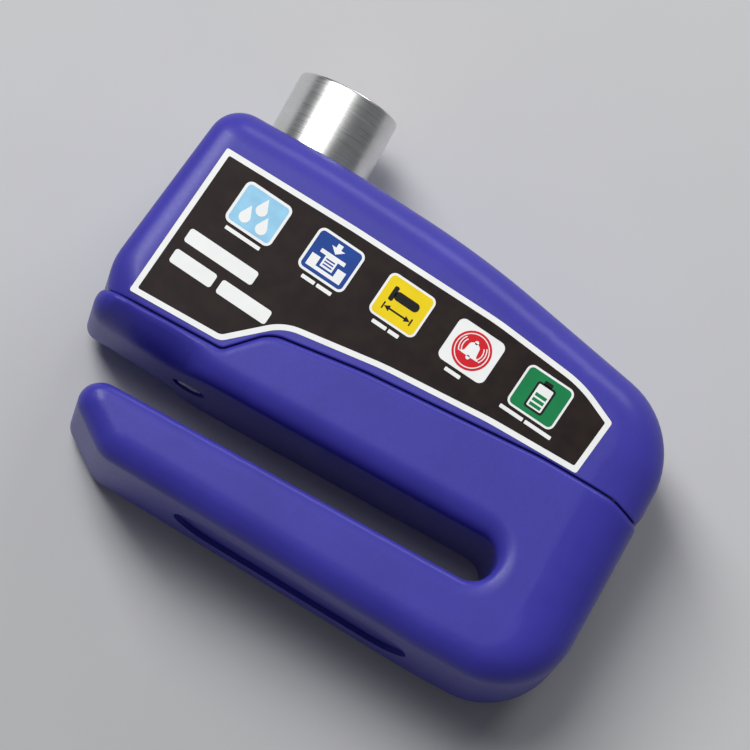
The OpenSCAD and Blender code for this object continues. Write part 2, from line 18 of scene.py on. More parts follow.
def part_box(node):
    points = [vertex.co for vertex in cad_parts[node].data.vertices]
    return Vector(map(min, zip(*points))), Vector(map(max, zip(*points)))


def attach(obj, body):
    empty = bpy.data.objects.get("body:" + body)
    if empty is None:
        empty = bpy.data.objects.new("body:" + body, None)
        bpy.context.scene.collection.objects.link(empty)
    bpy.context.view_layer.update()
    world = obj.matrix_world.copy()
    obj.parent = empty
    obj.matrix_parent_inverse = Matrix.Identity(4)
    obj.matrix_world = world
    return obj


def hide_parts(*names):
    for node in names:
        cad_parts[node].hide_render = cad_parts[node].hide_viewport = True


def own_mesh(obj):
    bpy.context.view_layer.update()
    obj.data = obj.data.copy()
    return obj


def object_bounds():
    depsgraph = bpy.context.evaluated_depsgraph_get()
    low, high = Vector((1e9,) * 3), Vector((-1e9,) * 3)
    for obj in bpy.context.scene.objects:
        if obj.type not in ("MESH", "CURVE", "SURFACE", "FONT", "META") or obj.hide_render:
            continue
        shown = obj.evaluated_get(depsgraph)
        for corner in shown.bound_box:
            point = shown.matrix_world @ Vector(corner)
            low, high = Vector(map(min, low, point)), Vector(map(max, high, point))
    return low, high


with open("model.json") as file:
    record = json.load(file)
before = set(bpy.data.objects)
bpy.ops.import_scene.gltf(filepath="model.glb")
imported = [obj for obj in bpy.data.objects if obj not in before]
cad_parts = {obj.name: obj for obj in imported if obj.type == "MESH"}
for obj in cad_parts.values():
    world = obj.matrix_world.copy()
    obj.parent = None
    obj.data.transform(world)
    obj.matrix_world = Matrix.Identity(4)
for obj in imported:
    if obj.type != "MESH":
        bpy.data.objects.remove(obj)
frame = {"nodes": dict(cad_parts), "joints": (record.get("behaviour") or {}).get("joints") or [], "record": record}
CAD_LOW, CAD_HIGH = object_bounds()

# ---- Frame ----

MM = 0.001
BODY_L = 90.0
ORIGIN = Vector((CAD_HIGH.x - BODY_L * MM, CAD_LOW.y, CAD_LOW.z))


def place(u, v, w):
    """A point of the lock, in the frame's metres."""
    return ORIGIN + Vector((u, v, w)) * MM


def lock_box(node):
    """Lowest and highest corner of a CAD node, in the lock's millimetres."""
    low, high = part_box(node)
    return (low - ORIGIN) / MM, (high - ORIGIN) / MM


def joint_end(name):
    """How far a sliding joint goes, in millimetres."""
    return next(j for j in frame["joints"] if j["name"] == name)["range_m"][1] / MM


def middle_of(node):
    """Middle of a CAD node's box, in the lock's millimetres."""
    low, high = lock_box(node)
    return (low + high) / 2


BODY_T = lock_box("lock_body")[1].z
BODY_H = lock_box("upper_cover")[1].y
SLEEVE_LOW, SLEEVE_HIGH = lock_box("cylinder_sleeve")
AXIS_U = (SLEEVE_LOW.x + SLEEVE_HIGH.x) / 2
AXIS_W = (SLEEVE_LOW.z + SLEEVE_HIGH.z) / 2
SLEEVE_R = (SLEEVE_HIGH.x - SLEEVE_LOW.x) / 2
SLEEVE_TOP = SLEEVE_HIGH.y
SLEEVE_FOOT = SLEEVE_LOW.y
LABEL_LOW, LABEL_HIGH = lock_box("front_label")
BUSH_LOW, BUSH_HIGH = lock_box("guide_bush")
BORE_FLOOR = lock_box("return_spring")[0].y
TRAVEL = joint_end("plunger_slide")

# ---- Outlines ----

# Corners [u, v, corner radius, fillet radius, crease, depth] round the lock; the fillet, the strength of
# its crease and how much deeper than wide it is belong to the edge that starts at the corner
LOWER_JAW = [
    [7.0, 12.6, 4.2, 2.4, 0.0, 1.4],
    [3.8, 8.8, 3.0, 3.2, 0.0, 1.4],
    [12.5, 2.4, 6, 4.2, 0.0, 1.0],
    [70, 0, 60, 4.4, 0.0, 1.0],
    [90, 0, 12.5, 9.5, 0.06, 0.72],
]
CROWN = [
    [90, 50.4, 14, 5.4, 0.12, 1.0],
    [50, 58.7, 150, 5.0, 0.12, 1.0],
    [24, 60.6, 200, 4.8, 0.12, 1.0],
    [3.4, 60.6, 5.5, 3.0, 0.08, 1.0],
]
SLOT = [
    [18, 20.2, 30, 3.3, 0.0, 1.2],
    [73.6, 20.2, 3.78, 1.6, 0.0, 1.0],
    [73.6, 12.6, 3.78, 1.5, 0.0, 1.0],
]
# The upper jaw's tip is a little fuller than the cover above it
COVER_CORNERS = [*LOWER_JAW, *CROWN, [-1.6, 21.4, 10, 6.0, 0.0, 1.2], *SLOT]
BODY_CORNERS = [*LOWER_JAW, *CROWN, [0.2, 30, 4, 4.4, 0.0, 1.2], [-0.2, 21.3, 2.8, 5.2, 0.0, 2.0], *SLOT]
PARTING = [[20.8, 25.6, 1.5], [26.3, 31.4, 6], [41.8, 33.3, 60], [72, 35, 60], [84.6, 34.7, 5]]
PARTING_LEFT = 25.4
PARTING_RIGHT = 32.97
JOINT_GAP = 0.1
LABEL = [
    [4, 26.5, 0.4],
    [20, 26.4, 2.5],
    [27.6, 33, 8],
    [44, 34.8, 60],
    [62, 35.5, 60],
    [77.6, 35.2, 0.5],
    [78.8, 44.9, 0.6],
    [72, 48.2, 20],
    [56, 50.5, 60],
    [30, 52.3, 80],
    [6.5, 53.4, 0.4],
]
ARC_STEPS = 14
MIN_RADIUS = 0.3
EDGE_PITCH = 1.6
SOFTEN = 1.2
SOFTEN_STEPS = 12
BLEND_RUN = 2.2
WELD = 0.004 * MM


def corner_arc(p, q, s, radius, steps):
    """The arc that rounds corner q between its neighbours p and s."""
    a, b = (p - q).normalized(), (s - q).normalized()
    half = math.acos(max(-1.0, min(1.0, a.dot(b)))) / 2
    middle = q + (a + b).normalized() * (radius / math.sin(half))
    start = q + a * (radius / math.tan(half)) - middle
    finish = q + b * (radius / math.tan(half)) - middle
    sweep = start.angle_signed(finish)
    return [middle + Matrix.Rotation(-sweep * k / steps, 2) @ start for k in range(steps + 1)]


def inset(corners, walls):
    """Corners moved inwards, each edge by its own distance, for a counter-clockwise outline."""
    out = []
    for i, c in enumerate(corners):
        p, q, s = (Vector(corners[k % len(corners)][:2]) for k in (i - 1, i, i + 1))
        a, b = (q - p).normalized(), (s - q).normalized()
        m, n = Vector((-a.y, a.x)), Vector((-b.y, b.x))
        before, after = walls[i - 1], walls[i]
        turn = a.cross(b)
        if abs(turn) < 1e-6:
            spot = q + m * before
        else:
            # where the two moved edges meet
            start = q + m * before
            reach = ((q + n * after) - start).cross(b) / turn
            spot = start + a * reach
        mean = (before + after) / 2
        radius = max(c[2] - mean, MIN_RADIUS) if turn > 0 else c[2] + mean
        if c[2] == 0:
            radius = 0
        out.append([spot.x, spot.y, radius])
    return out


def ring(corners, counts, steps=ARC_STEPS):
    """Points round a closed outline: an arc at each corner, and counts[i] points on the straight after it."""
    arcs = []
    for i, c in enumerate(corners):
        p, q, s = (Vector(corners[k % len(corners)][:2]) for k in (i - 1, i, i + 1))
        arcs.append([q] if c[2] == 0 else corner_arc(p, q, s, c[2], steps))
    points = []
    for i, arc in enumerate(arcs):
        points += arc
        start, finish = arc[-1], arcs[(i + 1) % len(arcs)][0]
        for k in range(1, counts[i] + 1):
            share = (1 - math.cos(math.pi * k / (counts[i] + 1))) / 2
            points.append(start.lerp(finish, share))
    return points


def rounded(corners, steps=ARC_STEPS):
    return ring(corners, [0] * len(corners), steps)


def distances(points, start, run):
    """Distance of each point to each stretch of a polyline, and where along it the nearest spot is."""
    p = np.asarray(points)[:, None, :] - start[None]
    t = np.clip((p * run).sum(2) / np.maximum((run**2).sum(1), 1e-12), 0, 1)
    return np.linalg.norm(p - t[..., None] * run, axis=2), t


class Silhouette:
    """The lock's outer edge, and how far the soft front and back edges fall away inside it."""

    def __init__(self, corners):
        points, inwards, looks = [], [], []
        for i, c in enumerate(corners):
            p, q, s = (Vector(corners[k % len(corners)][:2]) for k in (i - 1, i, i + 1))
            arc = corner_arc(p, q, s, c[2], ARC_STEPS)
            nxt, after_next = corners[(i + 1) % len(corners)], Vector(corners[(i + 2) % len(corners)][:2])
            far = corner_arc(q, s, after_next, nxt[2], ARC_STEPS)[0]
            count = max(1, int((far - arc[-1]).length / EDGE_PITCH))
            first, last = (q - p).normalized(), (s - q).normalized()
            before, after = np.array(corners[i - 1][3:]), np.array(c[3:])
            for k, spot in enumerate(arc):
                along = Matrix.Rotation(-first.angle_signed(last) * k / ARC_STEPS, 2) @ first
                points.append(spot)
                inwards.append((-along.y, along.x))
                looks.append(before + (after - before) * k / ARC_STEPS)
            for k in range(1, count):
                points.append(arc[-1].lerp(far, k / count))
                inwards.append((-last.y, last.x))
                looks.append(after)
        self.outline = points
        self.start, self.inwards = np.array(points), np.array(inwards)
        self.run = np.roll(self.start, -1, 0) - self.start
        self.radius, self.crease, self.depth = self.blended(np.array(looks)).T

    def blended(self, looks):
        """The looks of the edges, run into each other along the outline."""
        lengths = np.linalg.norm(self.run, axis=1)
        where = np.cumsum(lengths) - lengths
        gap = np.abs(where[:, None] - where[None])
        gap = np.minimum(gap, lengths.sum() - gap)
        weight = np.exp(-((gap / BLEND_RUN) ** 2)) * (lengths + np.roll(lengths, 1))[None]
        return weight @ looks / weight.sum(1)[:, None]

    def inner(self, share, more=0.0):
        """The edge moved inwards by a share of each point's fillet radius, and more."""
        return self.start + self.inwards * (self.radius * share + more)[:, None]

    def plain_fall(self, points):
        """A quarter round with a faint crease, and the distance from the edge."""
        gap, t = distances(points, self.start, self.run)
        nearest = gap.argmin(1)
        rows = np.arange(len(points))
        share = t[rows, nearest]
        following = (nearest + 1) % len(self.start)
        r, crease, depth = (v[nearest] + share * (v[following] - v[nearest])
                            for v in (self.radius, self.crease, self.depth))
        x = np.clip(1 - gap[rows, nearest] / r, 0, 1)
        return r * depth * ((1 - crease) * (1 - np.sqrt(1 - x * x)) + crease * x), gap[rows, nearest]

    def fall(self, points):
        """How far the surface lies below the flat face at each point, averaged over a small circle."""
        points = np.asarray(points)
        total, gap = self.plain_fall(points)
        reach = np.minimum(SOFTEN, 0.6 * gap)[:, None]
        for k in range(SOFTEN_STEPS):
            a = 2 * math.pi * k / SOFTEN_STEPS
            total = total + self.plain_fall(points + reach * np.array([math.cos(a), math.sin(a)]))[0]
        return total / (SOFTEN_STEPS + 1)


# ---- Meshes ----


def make_piece(name, points, faces, body, slot, material, smooth=True):
    """A mesh of the lock, from points in the lock's millimetres, riding on a CAD body."""
    mesh = bpy.data.meshes.new(name)
    mesh.from_pydata([place(*p) for p in points], [], faces)
    mesh.validate()
    bm = bmesh.new()
    bm.from_mesh(mesh)
    bmesh.ops.recalc_face_normals(bm, faces=bm.faces)
    bm.to_mesh(mesh)
    bm.free()
    piece = bpy.data.objects.new(name, mesh)
    bpy.context.scene.collection.objects.link(piece)
    for face in mesh.polygons:
        face.use_smooth = smooth
    if material:
        mesh.materials.append(material)
    if body:
        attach(piece, body)
    return piece


def make_tool(name, points, faces):
    """A mesh that only cuts or joins, and is removed afterwards."""
    return make_piece(name, points, faces, None, None, None)


def weld(mesh):
    """Merges the near-double corners that a cut leaves, and closes what that leaves open."""
    work = bmesh.new()
    work.from_mesh(mesh)
    bmesh.ops.remove_doubles(work, verts=work.verts, dist=WELD)
    bmesh.ops.dissolve_degenerate(work, dist=WELD, edges=work.edges)
    bmesh.ops.holes_fill(work, edges=[edge for edge in work.edges if edge.is_boundary], sides=0)
    work.to_mesh(mesh)
    work.free()


def carve(piece, cuts=(), joins=()):
    """Joins and cuts meshes into a piece, and removes them."""
    for operation, tools in (("UNION", joins), ("DIFFERENCE", cuts)):
        for tool in tools:
            step = piece.modifiers.new(operation, "BOOLEAN")
            step.operation, step.object, step.solver = operation, tool, "EXACT"
    bpy.context.view_layer.update()
    graph = bpy.context.evaluated_depsgraph_get()
    made = bpy.data.meshes.new_from_object(piece.evaluated_get(graph))
    weld(made)
    piece.modifiers.clear()
    old = piece.data
    piece.data = made
    bpy.data.meshes.remove(old)
    for tool in [*cuts, *joins]:
        data = tool.data
        bpy.data.objects.remove(tool)
        bpy.data.meshes.remove(data)


def finish_shading(piece, angle=35):
    """Smooth faces, sharp edges above an angle, and flat faces kept flat in the light."""
    mesh = piece.data
    for face in mesh.polygons:
        face.use_smooth = True
    mesh.set_sharp_from_angle(angle=math.radians(angle))
    even = piece.modifiers.new("even_normals", "WEIGHTED_NORMAL")
    even.keep_sharp, even.weight = True, 80


def prism_faces(n):
    """The faces between a first and a second ring of n points."""
    sides = [(i, (i + 1) % n, n + (i + 1) % n, n + i) for i in range(n)]
    return [tuple(reversed(range(n))), tuple(range(n, 2 * n)), *sides]


def prism_data(points, low, high):
    """A flat outline between two heights w."""
    return [(p[0], p[1], w) for w in (low, high) for p in points], prism_faces(len(points))


def band_data(outer, inner, low, high):
    """A flat ring between two outlines with the same number of points."""
    n = len(outer)
    spots = [(p[0], p[1], w) for w in (low, high) for p in (*outer, *inner)]
    faces = []
    for i in range(n):
        j = (i + 1) % n
        a, b, c, d = i, j, n + j, n + i
        faces += [(d, c, b, a), (2 * n + a, 2 * n + b, 2 * n + c, 2 * n + d)]
        faces += [(a, b, 2 * n + b, 2 * n + a), (d, 2 * n + d, 2 * n + c, c)]
    return spots, faces


def lathe_data(profile, segments=96, centre=None, axis="v"):
    """A closed profile of (radius, height) turned about an axis; points of radius 0 are poles."""
    centre = centre or (AXIS_U, 0, AXIS_W)
    spots, rows = [], []
    for r, h in profile:
        row = []
        for k in range(segments if r > 0 else 1):
            a = 2 * math.pi * k / segments
            x, y = r * math.cos(a), r * math.sin(a)
            offset = {"v": (x, h, -y), "w": (x, y, h), "u": (h, x, y)}[axis]
            row.append(len(spots))
            spots.append(tuple(c + o for c, o in zip(centre, offset)))
        rows.append(row)
    closed = profile[0][0] > 0 or profile[-1][0] > 0
    pairs = list(zip(rows, rows[1:])) + ([(rows[-1], rows[0])] if closed else [])
    faces = []
    for a, b in pairs:
        for k in range(segments):
            corner = [a[k % len(a)], a[(k + 1) % len(a)], b[(k + 1) % len(b)], b[k % len(b)]]
            face = list(dict.fromkeys(corner))
            if len(face) > 2:
                faces.append(tuple(face))
    return spots, faces


def block_data(low, high):
    """A box between its lowest and its highest corner."""
    us, vs, ws = zip(low, high)
    corners = [(us[0], vs[0]), (us[1], vs[0]), (us[1], vs[1]), (us[0], vs[1])]
    return prism_data(corners, *ws)


def sweep_data(path, radius, sides=10):
    """A round wire along a list of points."""
    spots, faces = [], []
    points = [Vector(p) for p in path]
    normal = None
    for i, p in enumerate(points):
        along = (points[min(i + 1, len(points) - 1)] - points[max(i - 1, 0)]).normalized()
        if normal is None:
            normal = along.orthogonal().normalized()
        normal = (normal - along * normal.dot(along)).normalized()
        across = along.cross(normal)
        for k in range(sides):
            a = 2 * math.pi * k / sides
            spots.append(tuple(p + (normal * math.cos(a) + across * math.sin(a)) * radius))
    for i in range(len(points) - 1):
        for k in range(sides):
            j = (k + 1) % sides
            faces.append((i * sides + k, i * sides + j, (i + 1) * sides + j, (i + 1) * sides + k))
    faces.append(tuple(reversed(range(sides))))
    faces.append(tuple(range(len(spots) - sides, len(spots))))
    return spots, faces


# ---- Shells ----

BODY_EDGE, COVER_EDGE = Silhouette(BODY_CORNERS), Silhouette(COVER_CORNERS)
FILLET_STEPS = 9
RIM_STEPS = 4


def quarter_shares(steps):
    """Where the rings of a quarter round lie, as shares of its radius."""
    return [1 - math.cos(math.pi / 2 * k / steps) for k in range(1, steps + 1)]


def inside(points, outline):
    """Which points lie inside a closed outline."""
    p, a = np.asarray(points), np.asarray(outline)
    b = np.roll(a, -1, 0)
    crosses = (a[None, :, 1] > p[:, None, 1]) != (b[None, :, 1] > p[:, None, 1])
    with np.errstate(divide="ignore", invalid="ignore"):
        where = a[None, :, 0] + (p[:, None, 1] - a[None, :, 1]) * (b - a)[None, :, 0] / (b - a)[None, :, 1]
    return (crosses & (p[:, None, 0] < where)).sum(1) % 2 == 1


def shell_data(edge, outline, joint, rim):
    """A soft-edged block between front and back faces.

    outline is the part of the edge that it takes up, and joint the open line along which it meets the other
    shell, where it has a small round edge of its own, of radius rim.
    """
    spots, edges = [], []

    def add_line(points, closed):
        first = len(spots)
        spots.extend(Vector(p) for p in points)
        edges.extend((first + k, first + (k + 1) % len(points)) for k in range(len(points) - (not closed)))

    add_line(outline, True)
    for share in quarter_shares(FILLET_STEPS):
        add_line(edge.inner(share), True)
    for more in (SOFTEN / 3, 2 * SOFTEN / 3, 1.1 * SOFTEN):
        add_line(edge.inner(1, more), True)
    for share in [*quarter_shares(RIM_STEPS), 1.5]:
        for side in (-1, 1):
            add_line(shifted(joint, side * rim * share), False)
    flat, _, faces, *_ = delaunay_2d_cdt(spots, edges, [], 1, 1e-5)
    flat = np.array(flat)
    middles = np.array([flat[list(f)].mean(0) for f in faces])
    faces = [f for f, keep in zip(faces, inside(middles, outline)) if keep]
    used = sorted({i for f in faces for i in f})
    number = {old: new for new, old in enumerate(used)}
    faces = [tuple(number[i] for i in f) for f in faces]
    flat = flat[used]
    joint_start = np.array(joint[:-1])
    joint_run = np.array(joint[1:]) - joint_start
    x = np.clip(1 - distances(flat, joint_start, joint_run)[0].min(1) / rim, 0, 1)
    fall = edge.fall(flat) + rim * (1 - np.sqrt(1 - x * x))
    n = len(flat)
    points = [(u, v, BODY_T - d) for (u, v), d in zip(flat, fall)]
    points += [(u, v, d) for (u, v), d in zip(flat, fall)]
    out = list(faces) + [tuple(n + i for i in reversed(f)) for f in faces]
    seen = {(f[k], f[(k + 1) % len(f)]) for f in faces for k in range(len(f))}
    out += [(b, a, n + a, n + b) for a, b in seen if (b, a) not in seen]
    return points, out


def shifted(line, distance):
    """An open line moved sideways."""
    points = np.array(line)
    along = np.gradient(points, axis=0)
    along /= np.linalg.norm(along, axis=1)[:, None]
    return points + np.stack([-along[:, 1], along[:, 0]], 1) * distance


JOINT_TIP = 0.8
JOINT_PITCH = 0.9
BODY_RIM = 0.95
COVER_RIM = 0.25


def joint_line(dv):
    """The joint line as points, from beyond the lock's left side to beyond its right side, moved up by dv."""
    corners = [[-3, PARTING_LEFT, 0], *PARTING, [BODY_L + 2, PARTING_RIGHT, 0]]
    points = []
    for i, c in enumerate(corners):
        if c[2] == 0:
            points.append(Vector(c[:2]))
        else:
            p, q, s = (Vector(corners[k][:2]) for k in (i - 1, i, i + 1))
            points += corner_arc(p, q, s, c[2], ARC_STEPS)
    line = [points[0]]
    for a, b in zip(points, points[1:]):
        count = max(1, math.ceil((b - a).length / JOINT_PITCH))
        line += [a.lerp(b, k / count) for k in range(1, count + 1)]
    return [Vector((p.x, p.y + dv)) for p in line]


def soft_tip(a, corner, b, steps=5):
    """Points that round a corner between its neighbours."""
    return [a.lerp(corner, k / steps).lerp(corner.lerp(b, k / steps), k / steps) for k in range(1, steps)]


def part_outline(edge, dv, above):
    """The part of the edge above or below the joint line, closed along that line."""
    whole = edge.outline
    line = joint_line(dv)
    over = [p.y - np.interp(p.x, [q.x for q in line], [q.y for q in line]) for p in whole]
    n = len(whole)
    start = next(i for i in range(n) if (over[i] > 0) == above and (over[i - 1] > 0) != above)
    count = next(k for k in range(n) if (over[(start + k) % n] > 0) != above)
    run = [whole[(start + k) % n] for k in range(count)]

    def crossing(i, j):
        return whole[i % n].lerp(whole[j % n], over[i % n] / (over[i % n] - over[j % n]))

    first, last = crossing(start - 1, start), crossing(start + count - 1, start + count)
    low, high = sorted((first.x, last.x))
    middle = [p for p in line if low + JOINT_TIP < p.x < high - JOINT_TIP]
    if not above:
        middle.reverse()
    while (run[0] - first).length < JOINT_TIP:
        run.pop(0)
    while (run[-1] - last).length < JOINT_TIP:
        run.pop()
    return [tuple(p) for p in [*run, *soft_tip(run[-1], last, middle[0]), *middle,
                               *soft_tip(middle[-1], first, run[0])]]


def body_shell():
    dv = -JOINT_GAP / 2
    return shell_data(BODY_EDGE, part_outline(BODY_EDGE, dv, False), joint_line(dv), BODY_RIM)


def cover_shell():
    dv = JOINT_GAP / 2
    return shell_data(COVER_EDGE, part_outline(COVER_EDGE, dv, True), joint_line(dv), COVER_RIM)


def rod_data(radius, low, high, centre=None, axis="v", segments=48):
    """A round rod, on the cylinder's own axis unless another is given."""
    return lathe_data([(0, low), (radius, low), (radius, high), (0, high)], segments, centre, axis)


def tool_post(radius, low, high):
    return make_tool("tool", *rod_data(radius, low, high, segments=96))


def tool_block(low, high):
    return make_tool("tool", *block_data(low, high))


# ---- Materials ----


def new_material(name):
    material = bpy.data.materials.new(name)
    material.use_nodes = True
    tree = material.node_tree
    return material, tree, tree.nodes["Principled BSDF"]


def noise(tree, scale, detail=3.0, stretch=(1, 1, 1), roughness=0.55):
    """Noise in the object's own coordinates; scale is in features per metre."""
    where = tree.nodes.new("ShaderNodeTexCoord")
    mapping = tree.nodes.new("ShaderNodeMapping")
    mapping.inputs["Scale"].default_value = stretch
    texture = tree.nodes.new("ShaderNodeTexNoise")
    texture.inputs["Scale"].default_value = scale
    texture.inputs["Detail"].default_value = detail
    texture.inputs["Roughness"].default_value = roughness
    tree.links.new(where.outputs["Object"], mapping.inputs["Vector"])
    tree.links.new(mapping.outputs["Vector"], texture.inputs["Vector"])
    return texture.outputs["Fac"]


def remap(tree, value, low, high, start=0.3, finish=0.7):
    node = tree.nodes.new("ShaderNodeMapRange")
    node.inputs["From Min"].default_value = start
    node.inputs["From Max"].default_value = finish
    node.inputs["To Min"].default_value = low
    node.inputs["To Max"].default_value = high
    tree.links.new(value, node.inputs["Value"])
    return node.outputs["Result"]


def mix_colours(tree, share, first, second):
    node = tree.nodes.new("ShaderNodeMix")
    node.data_type = "RGBA"
    node.inputs[6].default_value = (*first, 1)
    node.inputs[7].default_value = (*second, 1)
    tree.links.new(share, node.inputs[0])
    return node.outputs[2]


def bump(tree, value, depth, before=None):
    """depth is the height of the relief in metres."""
    node = tree.nodes.new("ShaderNodeBump")
    node.inputs["Strength"].default_value = 1.0
    node.inputs["Distance"].default_value = depth
    tree.links.new(value, node.inputs["Height"])
    if before:
        tree.links.new(before, node.inputs["Normal"])
    return node.outputs["Normal"]


def surface(name, colour, variation=0.12, patch=120, roughness=(0.35, 0.45), grain=1500, relief=0.000004,
            metallic=0.0, stretch=(1, 1, 1), coat=0.0, coat_roughness=0.1, specular=0.5, anisotropic=0.0,
            fine=None):
    """A surface with drifting colour, uneven gloss and a fine grain."""
    material, tree, shader = new_material(name)
    darker = tuple(c * (1 - variation) for c in colour)
    lighter = tuple(min(1.0, c * (1 + variation)) for c in colour)
    drift = noise(tree, patch, 4)
    tree.links.new(mix_colours(tree, remap(tree, drift, 0, 1), darker, lighter), shader.inputs["Base Color"])
    texture = noise(tree, grain, 3, stretch)
    tree.links.new(remap(tree, texture, *roughness), shader.inputs["Roughness"])
    normal = bump(tree, texture, relief)
    if fine:
        normal = bump(tree, noise(tree, fine[0], 2), fine[1], normal)
    tree.links.new(normal, shader.inputs["Normal"])
    shader.inputs["Metallic"].default_value = metallic
    shader.inputs["Coat Weight"].default_value = coat
    shader.inputs["Coat Roughness"].default_value = coat_roughness
    shader.inputs["Specular IOR Level"].default_value = specular
    shader.inputs["Anisotropic"].default_value = anisotropic
    return material


BODY_PAINT = (0.047, 0.042, 0.36)
COVER_PAINT = (0.0525, 0.046, 0.365)


def paint(name, colour):
    """Powder paint: fine orange peel under a thin gloss."""
    return surface(name, colour, variation=0.07, patch=90, roughness=(0.36, 0.46), grain=2600,
                   relief=0.000012, coat=0.13, coat_roughness=0.24, specular=0.2, fine=(700, 0.000014))


def ink(name, colour, variation=0.07):
    """Flat print on the label."""
    return surface(name, colour, variation, 300, (0.32, 0.42), 3000, 0.000002, specular=0.12)


def metal(name, colour, roughness=(0.22, 0.36), grain=900, stretch=(1, 30, 1), relief=0.000002,
          anisotropic=0.4):
    """Metal with a grain; stretch makes the grain run along an axis."""
    return surface(name, colour, variation=0.1, patch=150, roughness=roughness, grain=grain, relief=relief,
                   metallic=1.0, stretch=stretch, anisotropic=anisotropic)


MATERIALS = {
    "blue_body": paint("paint_body", BODY_PAINT),
    "blue_cover": paint("paint_cover", COVER_PAINT),
    "label_print": ink("print_black", (0.016, 0.0095, 0.0085), 0.3),
    "seal_rubber": surface("rubber", (0.012, 0.012, 0.013), 0.3, 400, (0.6, 0.75), 2500, 0.00001),
    "steel_brushed": metal("steel_sleeve", (0.72, 0.72, 0.71), (0.24, 0.40), 160, (1, 60, 1), 0.000003, 0.5),
    "steel_hard": metal("steel_hard", (0.55, 0.56, 0.58), (0.2, 0.35), 300, (1, 20, 1)),
    "spring_steel": metal("steel_spring", (0.42, 0.42, 0.43), (0.3, 0.45), 1200, (1, 1, 1)),
    "screw_steel": metal("steel_screw", (0.5, 0.5, 0.52), (0.25, 0.4), 1200, (1, 1, 1)),
    "brass": metal("brass", (0.75, 0.55, 0.24), (0.22, 0.38), 300, (1, 20, 1)),
    "bronze": metal("bronze", (0.55, 0.38, 0.2), (0.35, 0.55), 1800, (1, 1, 1), 0.000006, 0),
    "case_plastic": surface("plastic_case", (0.03, 0.03, 0.033), 0.15, 200, (0.42, 0.58), 3200, 0.00001),
    "tray_plastic": surface("plastic_tray", (0.06, 0.06, 0.065), 0.15, 200, (0.42, 0.58), 3200, 0.00001),
    "board": surface("board_green", (0.02, 0.13, 0.05), 0.2, 500, (0.3, 0.45), 4000, 0.000004, coat=0.4),
    "chip_black": surface("chip", (0.015, 0.015, 0.017), 0.2, 800, (0.45, 0.6), 6000, 0.000004),
    "cap_blue": surface("capacitor_sleeve", (0.04, 0.07, 0.2), 0.15, 300, (0.22, 0.32), 2500, 0.000002,
                        coat=0.5),
    "coil_copper": metal("copper", (0.72, 0.36, 0.2), (0.2, 0.35), 4000, (1, 1, 8), 0.00003, 0.2),
    "ceramic_white": surface("ceramic", (0.78, 0.75, 0.66), 0.06, 400, (0.35, 0.5), 3000, 0.000004),
    "membrane_white": surface("membrane", (0.8, 0.8, 0.78), 0.05, 900, (0.7, 0.85), 5000, 0.00002),
    "cell_steel": metal("steel_cell", (0.68, 0.68, 0.68), (0.16, 0.28), 900, (1, 1, 1), 0.000001, 0.3),
    "contact_nickel": metal("nickel", (0.66, 0.63, 0.57), (0.2, 0.32), 900, (1, 12, 1)),
    "button_red": surface("plastic_red", (0.5, 0.06, 0.03), 0.1, 400, (0.35, 0.45), 3200, 0.000004),
    "lead_red": surface("lead_red", (0.42, 0.02, 0.015), 0.1, 400, (0.4, 0.5), 3200, 0.000004),
    "lead_black": surface("lead_black", (0.015, 0.015, 0.016), 0.2, 400, (0.4, 0.5), 3200, 0.000004),
}
PRINT_WHITE = ink("print_white", (0.9, 0.91, 0.9), 0.03)
PRINT_BLUE = ink("print_light_blue", (0.32, 0.62, 0.84), 0.1)
PRINT_NAVY = ink("print_navy", (0.014, 0.06, 0.3))
PRINT_YELLOW = ink("print_yellow", (0.88, 0.66, 0.008), 0.04)
PRINT_RED = ink("print_red", (0.66, 0.014, 0.024))
PRINT_GREEN = ink("print_green", (0.008, 0.22, 0.07))
PRINT_INK = ink("print_ink", (0.012, 0.01, 0.01), 0.2)

for part in frame["record"]["subparts"]:
    node = frame["nodes"][part["node"]]
    node.data.materials.clear()
    node.data.materials.append(MATERIALS[part["material_slot"]])

# ---- Body and cover ----

COVER_SCREWS = [(8, 29.5), (24.5, 51.5), (82.4, 41)]
BOSS_R = 12.0
POCKET = [(33.5, 24.1), (70, 24.1), (79.5, 33.5), (79.5, 62), (33.5, 62)]
POCKET_LOW, POCKET_HIGH = 3.0, 30.0
SLEEVE_RUN, BAR_RUN, BAR_SIDE_RUN = 0.1, 0.2, 0.3
PIN_HOLE_R, THREAD_R, BUTTON_HOLE_R = 2.85, 1.5, 1.3
BAR_POCKET_END = 8.5
# How far a cut runs past the outer face, and past the hollow that it opens into
PAST_FACE, PAST_HOLLOW = 3, 1
# Lowest and highest corners of the pads that the cover's screws go into
SCREW_PADS = [
    ((4.6, 22, 2.4), (12, 34, 14)),
    ((17, 44, 2.4), (29, BUSH_HIGH.y, 14)),
    ((79.8, 30, 2.4), (85.6, 44.4, 9.5)),
]


